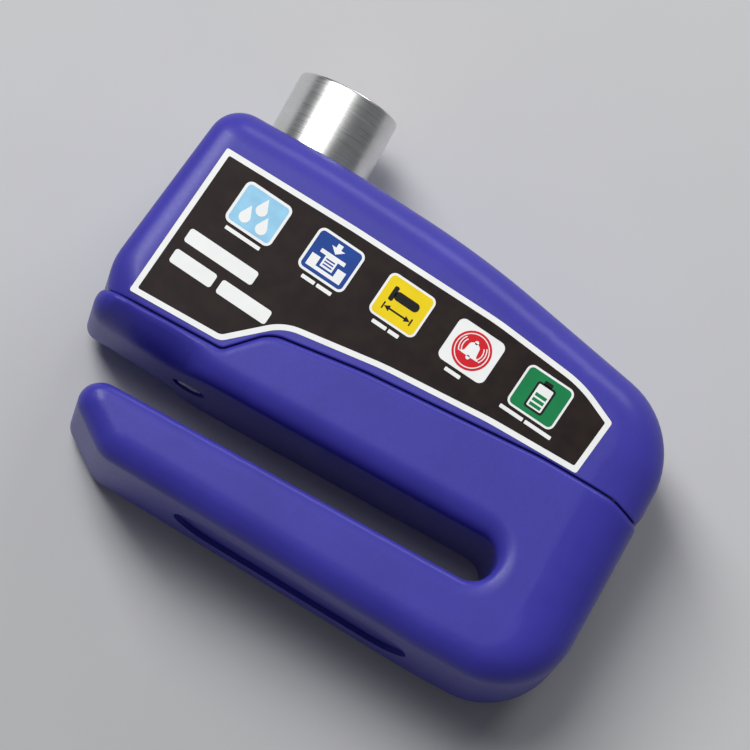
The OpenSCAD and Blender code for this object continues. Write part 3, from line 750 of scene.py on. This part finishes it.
def make_body():
    """The casting with its bore, pin hole, socket, alarm pocket, recess, bar pockets and threads."""
    body = make_piece("body_casting", *body_shell(), "housing", "blue_body", MATERIALS["blue_body"])
    joins = [tool_post(BOSS_R, BORE_FLOOR, BUSH_HIGH.y)]
    joins += [tool_block(*pad) for pad in SCREW_PADS]
    socket_low, socket_high = lock_box("pin_socket")
    bar_low, bar_high = lock_box("locking_bar")
    guide, button = middle_of("guide_screw"), middle_of("switch_button")
    cuts = [
        tool_post(SLEEVE_R + SLEEVE_RUN, BORE_FLOOR, BODY_H + PAST_FACE),
        tool_post((BUSH_HIGH.x - BUSH_LOW.x) / 2, BUSH_LOW.y, BODY_H + PAST_FACE),
        tool_post(PIN_HOLE_R, socket_low.y + PAST_HOLLOW, BORE_FLOOR + PAST_HOLLOW),
        tool_post((socket_high.x - socket_low.x) / 2, socket_low.y, socket_high.y + PAST_HOLLOW),
        make_tool("guide_hole", *rod_data(THREAD_R, -1, AXIS_W, (guide.x, guide.y, 0), "w")),
        make_tool("button_hole", *rod_data(BUTTON_HOLE_R, 0, BOSS_R + PAST_FACE,
                                           (AXIS_U, button.y, AXIS_W), "u")),
        make_tool("capsule_pocket", *prism_data(POCKET, POCKET_LOW, POCKET_HIGH)),
        recess_tool(),
    ]
    for drop in (0, TRAVEL):
        low = (BAR_POCKET_END, bar_low.y - BAR_RUN - drop, bar_low.z - BAR_SIDE_RUN)
        cuts.append(tool_block(low, (AXIS_U, bar_high.y + BAR_RUN - drop, bar_high.z + BAR_SIDE_RUN)))
    for u, v in COVER_SCREWS:
        cuts.append(make_tool("thread", *rod_data(THREAD_R, 1, 7, (u, v, 0), "w", 32)))
    carve(body, cuts, joins)
    finish_shading(body)
    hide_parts("lock_body")


def recess_tool():
    """The shallow recess with round ends along the bottom face, as sloped as that face is."""
    low, high, r, depth = 26.5, 68.5, 7.0, 0.9
    steps = 32
    outline = []
    for middle, start in ((high - r, -90), (low + r, 90)):
        for k in range(steps + 1):
            a = math.radians(start + 180 * k / steps)
            outline.append((middle + r * math.cos(a), AXIS_W + r * math.sin(a)))
    (u0, v0), (u1, v1) = LOWER_JAW[2][:2], LOWER_JAW[3][:2]
    spots = [(u, v0 + (v1 - v0) * (u - u0) / (u1 - u0) + rise, w) for rise in (-4, depth) for u, w in outline]
    return make_tool("recess", spots, prism_faces(len(outline)))


WALL = 2.2
RIGHT_WALL = 6.0
VENT_CENTRE = (58, 41.5)
VENT_R, VENT_RING_R, VENT_HOLES = 0.9, 3.4, 6
COLLAR_R, COLLAR_RUN = 12.2, 0.25
BORE_LOW = 40.0
# Profiles of (radius, depth) that are cut into the back
SCREW_SINK = [(0, -1), (3.6, -1), (3.1, 0), (1.6, 1.4), (1.6, 5), (0, 5)]
VENT_HOLE = [(0, -1), (VENT_R + 0.35, -1), (VENT_R + 0.35, 0), (VENT_R, 0.35), (VENT_R, 3), (0, 3)]


def make_cover():
    """The hollow cover, with the cylinder's collar, the label's seat, the screw holes and the sound holes."""
    cover = make_piece("cover_shell", *cover_shell(), "housing", "blue_cover", MATERIALS["blue_cover"])
    bottom = [[2.5, 10, 0], [BODY_L, 10, 5]]
    room = inset(bottom + [c[:3] for c in CROWN], [WALL, RIGHT_WALL] + [WALL] * 4)
    carve(cover, [make_tool("cavity", *prism_data(rounded(room), WALL, BODY_T - WALL))])
    bore_r, collar_low, collar_high = SLEEVE_R + COLLAR_RUN, BUSH_HIGH.y + 0.3, BODY_H - 1
    collar = [(bore_r, collar_low), (COLLAR_R, collar_low), (COLLAR_R, collar_high), (bore_r, collar_high)]
    mouth_r, mouth_low, mouth_high = SLEEVE_R + 1.5, BODY_H - 0.9, BODY_H + 0.6
    bore = [(0, BORE_LOW), (bore_r, BORE_LOW), (bore_r, mouth_low), (mouth_r, mouth_high), (0, mouth_high)]
    cuts = [
        make_tool("bore", *lathe_data(bore)),
        make_tool("label_seat", *prism_data(rounded(LABEL), LABEL_LOW.z, BODY_T + 1)),
    ]
    for u, v in COVER_SCREWS:
        cuts.append(make_tool("sink", *lathe_data(SCREW_SINK, 48, (u, v, 0), "w")))
    for k in range(VENT_HOLES + 1):
        a = 2 * math.pi * k / VENT_HOLES
        reach = VENT_RING_R if k < VENT_HOLES else 0
        u, v = VENT_CENTRE[0] + reach * math.cos(a), VENT_CENTRE[1] + reach * math.sin(a)
        cuts.append(make_tool("vent", *lathe_data(VENT_HOLE, 32, (u, v, 0), "w")))
    carve(cover, cuts, [make_tool("collar", *lathe_data(collar))])
    finish_shading(cover)
    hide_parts("upper_cover")


def make_gasket():
    """A flat seal in the joint: one strip along the front, one along the back, joined at both ends."""
    inside_edge, strip_start, strip_end = 5.0, 1.1, 3.1
    line = [p for p in joint_line(0) if inside_edge < p.x < BODY_L - inside_edge]
    depths = [strip_start, strip_end, BODY_T - strip_end, BODY_T - strip_start]
    sides = (-JOINT_GAP / 2, JOINT_GAP / 2)
    count = len(line)
    spots = [(u, v + dv, w) for u, v in line for w in depths for dv in sides]

    def number(i, j, k):
        return (i * len(depths) + j) * 2 + k

    def solid(i, j):
        return 0 <= i < count - 1 and 0 <= j < 3 and (j != 1 or i in (0, 1, count - 3, count - 2))

    faces = []
    for i in range(count - 1):
        for j in range(3):
            if not solid(i, j):
                continue
            for k in (0, 1):
                faces.append([number(i, j, k), number(i + 1, j, k),
                              number(i + 1, j + 1, k), number(i, j + 1, k)])
            for di, dj, edge in ((-1, 0, ((0, 0), (0, 1))), (1, 0, ((1, 0), (1, 1))),
                                 (0, -1, ((0, 0), (1, 0))), (0, 1, ((0, 1), (1, 1)))):
                if not solid(i + di, j + dj):
                    (a, b), (c, d) = edge
                    faces.append([number(i + a, j + b, 0), number(i + c, j + d, 0),
                                  number(i + c, j + d, 1), number(i + a, j + b, 1)])
    used = sorted({n for f in faces for n in f})
    order = {old: new for new, old in enumerate(used)}
    gasket = make_piece("gasket_strip", [spots[n] for n in used], [[order[n] for n in f] for f in faces],
                        "housing", "seal_rubber", MATERIALS["seal_rubber"])
    finish_shading(gasket)
    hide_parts("cover_gasket")


# ---- Label ----

PRINT_STEP, PRINT_ROOT = 0.02, 0.05
LABEL_TOP = LABEL_HIGH.z
BORDER_W, SEAT_GAP = 0.95, 0.04
TILE_ANGLE = -5.0


def print_layer(name, layer, material, outer, inner=None):
    """A flat patch or band of print, thin as ink, layer steps above the label's ground."""
    heights = (LABEL_TOP - PRINT_ROOT, LABEL_TOP + PRINT_STEP * layer)
    spots, faces = band_data(outer, inner, *heights) if inner else prism_data(outer, *heights)
    make_piece(name, spots, faces, "housing", "label_print", material, smooth=False)


def rounded_box(width, height, radius, steps=8):
    w, h = width / 2, height / 2
    return rounded([[-w, -h, radius], [w, -h, radius], [w, h, radius], [-w, h, radius]], steps)


def circle(radius, centre=(0, 0), steps=48):
    return [Vector((centre[0] + radius * math.cos(2 * math.pi * k / steps),
                    centre[1] + radius * math.sin(2 * math.pi * k / steps))) for k in range(steps)]


class Tile:
    """A place on the label, turned as the row of tiles is."""

    def __init__(self, name, u, v):
        self.name, self.centre, self.count = name, Vector((u, v)), 0

    def placed(self, points):
        turn = Matrix.Rotation(math.radians(TILE_ANGLE), 2)
        return [self.centre + turn @ Vector(p) for p in points]

    def add(self, points, layer, material, label, inner=()):
        self.count += 1
        name = f"{self.name}_{label}_{self.count}"
        print_layer(name, layer, material, self.placed(points), self.placed(inner))


TILE_W, TILE_H, TILE_R = 8.4, 7.4, 1.1
TILES = {
    "drops": (15.7, 46.7),
    "push": (28.9, 45.9),
    "pin": (41.8, 45.1),
    "bell": (54.5, 44.1),
    "battery": (67.2, 43.0),
}
# Shift of each caption along the row from its tile, and the lengths of its bars
CAPTIONS = {
    "drops": (0.0, [6.3]),
    "push": (0.2, [2.4, 2.7]),
    "pin": (-0.2, [2.6, 1.9]),
    "bell": (-0.6, [2.8]),
    "battery": (0.1, [4.2, 4.8]),
}


def make_tile(name, ground=None, edge=0.0):
    """A white tile, with a coloured ground inside a white edge."""
    tile = Tile("tile_" + name, *TILES[name])
    tile.add(rounded_box(TILE_W, TILE_H, TILE_R), 1, PRINT_WHITE, "edge")
    if ground:
        tile.add(rounded_box(TILE_W - 2 * edge, TILE_H - 2 * edge, TILE_R - edge), 2, ground, "ground")
    return tile


def make_label():
    """The printed label: ground, white border, five tiles and plain bars for its lines of print."""
    ground = inset(LABEL, [SEAT_GAP] * len(LABEL))
    spots, faces = prism_data(rounded(ground), LABEL_LOW.z, LABEL_TOP)
    label = make_piece("label_ground", spots, faces, "housing", "label_print", MATERIALS["label_print"],
                       smooth=False)
    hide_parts("front_label")
    inner = inset(LABEL, [BORDER_W] * len(LABEL))
    print_layer("label_border", 1, PRINT_WHITE, rounded(ground), rounded(inner))
    make_drops_tile()
    make_push_tile()
    make_pin_tile()
    make_bell_tile()
    make_battery_tile()
    make_captions()


def make_drops_tile():
    """Three drops, for a lock that stands rain."""
    tile = make_tile("drops", PRINT_BLUE, 0.45)
    for x, y, size in ((0.1, 1.0, 1.5), (-1.55, -1.25, 1.5), (1.6, -1.45, 1.5)):
        tile.add(teardrop(x, y, size), 3, PRINT_WHITE, "drop")


def teardrop(x, y, size, steps=20):
    """A round bottom with two sides that meet in a point."""
    r = size * 0.62
    tip = Vector((x, y + size * 1.15))
    start = math.radians(25)
    points = []
    for k in range(steps + 1):
        a = start - (math.pi + 2 * start) * k / steps
        points.append(Vector((x + r * math.cos(a), y - size * 0.25 + r * math.sin(a))))
    return list(reversed(points)) + [tip]


def make_push_tile():
    """A plunger that goes down into its bore."""
    tile = make_tile("push", PRINT_NAVY, 0.42)
    tile.add([(-3.1, -2.7), (3.1, -2.7), (3.1, -0.6), (1.6, -0.6), (1.6, -2.1), (-1.6, -2.1), (-1.6, -0.6),
              (-3.1, -0.6)], 3, PRINT_WHITE, "bore")
    tile.add([(-1.1, -1.75), (1.1, -1.75), (1.1, 0.1), (2.2, 0.1), (2.2, 0.75), (-2.2, 0.75), (-2.2, 0.1),
              (-1.1, 0.1)], 3, PRINT_WHITE, "plunger")
    for y in (-1.4, -0.9, -0.4):
        tile.add(box(-0.8, y, 0.8, y + 0.24), 4, PRINT_NAVY, "groove")
    tile.add([(-0.45, 2.75), (-0.45, 2.0), (-1.2, 2.0), (0, 1.0), (1.2, 2.0), (0.45, 2.0), (0.45, 2.75)], 3,
             PRINT_WHITE, "arrow")


def make_pin_tile():
    """A round pin with the two arrows of a measure below it."""
    tile = make_tile("pin", PRINT_YELLOW, 0.36)
    tile.add(rounded_at(0.3, 0.75, 4.4, 1.5, 0.7), 3, PRINT_INK, "pin")
    tile.add(rounded_at(-2.1, 0.75, 0.8, 2.5, 0.3), 3, PRINT_INK, "head")
    low, high, height = -2.5, 2.5, -1.6
    for end, tip in ((low, 1), (high, -1)):
        tile.add(box(end - 0.13, height - 0.6, end + 0.13, height + 0.6), 3, PRINT_INK, "line")
        arrow = [(end + tip * 0.13, height), (end + tip * 1.1, height - 0.5), (end + tip * 1.1, height + 0.5)]
        tile.add(arrow if tip > 0 else arrow[::-1], 3, PRINT_INK, "arrow")
    tile.add(box(low + 1, height - 0.15, high - 1, height + 0.15), 3, PRINT_INK, "measure")


def box(x0, y0, x1, y1):
    return [(x0, y0), (x1, y0), (x1, y1), (x0, y1)]


def rounded_at(x, y, width, height, radius):
    return [p + Vector((x, y)) for p in rounded_box(width, height, radius)]


def arc_band(middle, radius, width, start, finish, steps=12):
    """A bent bar round a point, between two angles in degrees."""
    angles = [math.radians(start + (finish - start) * k / steps) for k in range(steps + 1)]
    outer = [(middle[0] + (radius + width / 2) * math.cos(a), middle[1] + (radius + width / 2) * math.sin(a))
             for a in angles]
    inner = [(middle[0] + (radius - width / 2) * math.cos(a), middle[1] + (radius - width / 2) * math.sin(a))
             for a in angles]
    return outer + list(reversed(inner))


def make_bell_tile():
    """A ringing bell."""
    tile = make_tile("bell")
    tile.add(circle(3.15, steps=72), 2, PRINT_RED, "disc")
    tile.add(circle(2.78, steps=72), 3, PRINT_WHITE, "rim", circle(2.62, steps=72))
    right = [(0.3, 1.35), (0.85, 0.95), (1.0, 0.2), (1.15, -0.55), (1.6, -1.0)]
    dome = smoothed([(-x, y) for x, y in right] + right[::-1])
    tile.add(dome[::-1], 3, PRINT_WHITE, "bell")
    tile.add(circle(0.32, (0, 1.45), 20), 3, PRINT_WHITE, "knob")
    tile.add(circle(0.34, (0, -1.2), 20), 3, PRINT_WHITE, "clapper")
    for radius in (1.75, 2.2):
        for start in (-35, 145):
            tile.add(arc_band((0, 0.25), radius, 0.17, start, start + 70), 3, PRINT_WHITE, "sound")


def smoothed(points, steps=6):
    """A soft line through points."""
    spots = [Vector(p) for p in points]
    line = []
    for i in range(len(spots) - 1):
        p0, p1 = spots[max(i - 1, 0)], spots[i]
        p2, p3 = spots[i + 1], spots[min(i + 2, len(spots) - 1)]
        for k in range(steps):
            t = k / steps
            line.append(0.5 * (2 * p1 + (p2 - p0) * t + (2 * p0 - 5 * p1 + 4 * p2 - p3) * t * t
                               + (3 * p1 - p0 - 3 * p2 + p3) * t ** 3))
    return line + [spots[-1]]


def make_battery_tile():
    """A battery, part full."""
    tile = make_tile("battery", PRINT_GREEN, 0.36)
    tile.add(rounded_at(0, -0.25, 3.3, 4.6, 0.45), 3, PRINT_INK, "shell")
    tile.add(rounded_at(0, 2.25, 1.5, 0.75, 0.2), 3, PRINT_INK, "cap")
    tile.add(rounded_at(0, -0.25, 2.6, 3.9, 0.2), 4, PRINT_WHITE, "face")
    for k in range(3):
        tile.add(box(-1.0, -1.95 + 0.85 * k, 1.0, -1.4 + 0.85 * k), 5, PRINT_GREEN, "charge")


# Middle of each line of the title, and the lengths of its bars
TITLE_LINES = [((13.9, 38.0), [12.5]), ((16.0, 33.9), [7.6, 9.1])]
TITLE_H, TITLE_GAP = 2.4, 1.0
CAPTION_H, CAPTION_GAP, CAPTION_DROP = 0.62, 0.35, 0.85


def bars(name, centre, lengths, height, gap):
    """A row of plain bars that stands for a line of print."""
    row = Tile(name, *centre)
    start = -(sum(lengths) + gap * (len(lengths) - 1)) / 2
    for length in lengths:
        row.add(rounded_at(start + length / 2, 0, length, height, height * 0.2), 1, PRINT_WHITE, "bar")
        start += length + gap


def make_captions():
    for k, (centre, lengths) in enumerate(TITLE_LINES):
        bars(f"title_{k}", centre, lengths, TITLE_H, TITLE_GAP)
    for name, (shift, lengths) in CAPTIONS.items():
        u, v = TILES[name]
        spot = Matrix.Rotation(math.radians(TILE_ANGLE), 2) @ Vector((shift, -TILE_H / 2 - CAPTION_DROP))
        bars("caption_" + name, (u + spot.x, v + spot.y), lengths, CAPTION_H, CAPTION_GAP)


# ---- Cylinder ----

RAMP_DEPTH = 1.25
GUIDE_R = 1.55


def make_sleeve():
    """The sleeve, with the locking bar's window, the guide screw's slot and the switch's ramp."""
    chamfer, bevel, rim, gap = 0.45, 0.13, 0.35, 0.15
    inner = SLEEVE_R - 1.5
    profile = [
        (inner, SLEEVE_FOOT), (SLEEVE_R - chamfer, SLEEVE_FOOT), (SLEEVE_R, SLEEVE_FOOT + chamfer),
        (SLEEVE_R, SLEEVE_TOP - chamfer), (SLEEVE_R - bevel, SLEEVE_TOP - bevel),
        (SLEEVE_R - chamfer, SLEEVE_TOP),
        (inner + rim, SLEEVE_TOP), (inner, SLEEVE_TOP - rim),
    ]
    sleeve = make_piece("sleeve_tube", *lathe_data(profile, 160), "plunger", "steel_brushed",
                        MATERIALS["steel_brushed"])
    low, high = lock_box("locking_bar")
    screw_v, button_v = middle_of("guide_screw").y, middle_of("switch_button").y
    slope = RAMP_DEPTH / TRAVEL
    ramp_u, before, after = AXIS_U + SLEEVE_R - RAMP_DEPTH, 2.6, TRAVEL + 1.4
    ramp = [(ramp_u - before * slope, button_v - before), (ramp_u + 5, button_v - before),
            (ramp_u + 5, button_v + after), (ramp_u + after * slope, button_v + after)]
    carve(sleeve, [
        tool_block((AXIS_U - SLEEVE_R - 1, low.y - gap, low.z - gap), (AXIS_U, high.y + gap, high.z + gap)),
        tool_block((AXIS_U - GUIDE_R, screw_v - GUIDE_R, 0),
                   (AXIS_U + GUIDE_R, screw_v + TRAVEL + GUIDE_R, AXIS_W)),
        make_tool("ramp", *prism_data(ramp, 0, BODY_T)),
    ])
    finish_shading(sleeve, 30)
    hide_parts("cylinder_sleeve")


def make_spring(name, node, axis, turns, wire):
    """A coil of wire, wire in radius, with flat end turns."""
    low, high = lock_box(node)
    length = high[axis] - low[axis]
    centre = middle_of(node)
    first, second = [i for i in range(3) if i != axis]
    r = (high[first] - low[first]) / 2 - wire
    path, per_turn = [], 28
    for k in range(turns * per_turn + 1):
        a = 2 * math.pi * k / per_turn
        p = [0, 0, 0]
        p[axis] = low[axis] + wire + (length - 2 * wire) * coil_rise(k / per_turn, turns, length, wire)
        p[first] = centre[first] + r * math.cos(a)
        p[second] = centre[second] + r * math.sin(a)
        path.append(p)
    spring = make_piece(name, *sweep_data(path, wire), "housing", "spring_steel", MATERIALS["spring_steel"])
    finish_shading(spring, 60)
    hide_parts(node)
    return spring, low, high, length


def coil_rise(turn, turns, length, wire):
    """How far up a coil is after some turns: the first and last turns lie flat."""
    closed = 2 * wire / (length - 2 * wire)
    if turn < 1:
        return closed * turn
    if turn > turns - 1:
        return 1 - closed * (turns - turn)
    return closed + (1 - 2 * closed) * (turn - 1) / (turns - 2)


def make_springs():
    """The cylinder's return spring and the switch's spring, each a coil with a mesh of its own."""
    spring, low, high, length = make_spring("return_coil", "return_spring", 1, 8, 0.45)
    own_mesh(spring)
    spring, low, high, length = make_spring("switch_coil", "switch_spring", 0, 6, 0.15)
    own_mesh(spring)


# ---- Scene ----


def make_camera():
    """Nearly square on to the front, from far away, turned as the photograph is."""
    aim = place(43.3, 33.5, BODY_T)
    tilt, roll, distance, lens = math.radians(9.8), math.radians(29), 1.2, 375.8
    back = Vector((0, -math.sin(tilt), math.cos(tilt)))
    up = Vector((0, math.cos(tilt), math.sin(tilt)))
    side = Vector((1, 0, 0))
    right = side * math.cos(roll) + up * math.sin(roll)
    top = up * math.cos(roll) - side * math.sin(roll)
    data = bpy.data.cameras.new("camera")
    data.sensor_width = 36
    data.lens = lens
    data.clip_start, data.clip_end = 0.1, 10
    camera = bpy.data.objects.new("camera", data)
    bpy.context.scene.collection.objects.link(camera)
    rotation = Matrix((right, top, back)).transposed()
    camera.matrix_world = Matrix.Translation(aim + back * distance) @ rotation.to_4x4()
    bpy.context.scene.camera = camera


def make_floor():
    """A plain pale floor, a hair below the lock."""
    mesh = bpy.data.meshes.new("floor")
    size, hair = 3.0, 0.00002
    corners = [(-size, -size, 0), (size, -size, 0), (size, size, 0), (-size, size, 0)]
    mesh.from_pydata(corners, [], [(0, 1, 2, 3)])
    floor = bpy.data.objects.new("floor", mesh)
    floor.location.z = CAD_LOW.z - hair
    bpy.context.scene.collection.objects.link(floor)
    mesh.materials.append(surface("floor_paint", (0.55, 0.55, 0.56), 0.01, 3, (0.6, 0.7), 40, 0.0))


def add_area(name, spot, size, power):
    """A soft light, turned to the lock."""
    data = bpy.data.lights.new(name, "AREA")
    data.shape, data.size, data.size_y = "RECTANGLE", size[0], size[1]
    data.energy = power
    light = bpy.data.objects.new(name, data)
    light.location = spot
    light.rotation_euler = (Vector((0, 0, 0.015)) - light.location).to_track_quat("-Z", "Y").to_euler()
    bpy.context.scene.collection.objects.link(light)


def make_light():
    world = bpy.data.worlds.new("world")
    bpy.context.scene.world = world
    world.use_nodes = True
    back = world.node_tree.nodes["Background"]
    back.inputs["Color"].default_value = (0.92, 0.95, 1.0, 1)
    back.inputs["Strength"].default_value = 0.13
    add_area("main", (-0.48, 0.3, 1.0), (0.32, 0.8), 10.6)
    add_area("top", (0.12, 0.75, 0.42), (0.5, 0.3), 2.6)


make_camera()
make_floor()
make_light()
make_body()
make_cover()
make_gasket()
make_label()
make_sleeve()
make_springs()

bpy.context.scene.view_settings.view_transform = "Standard"
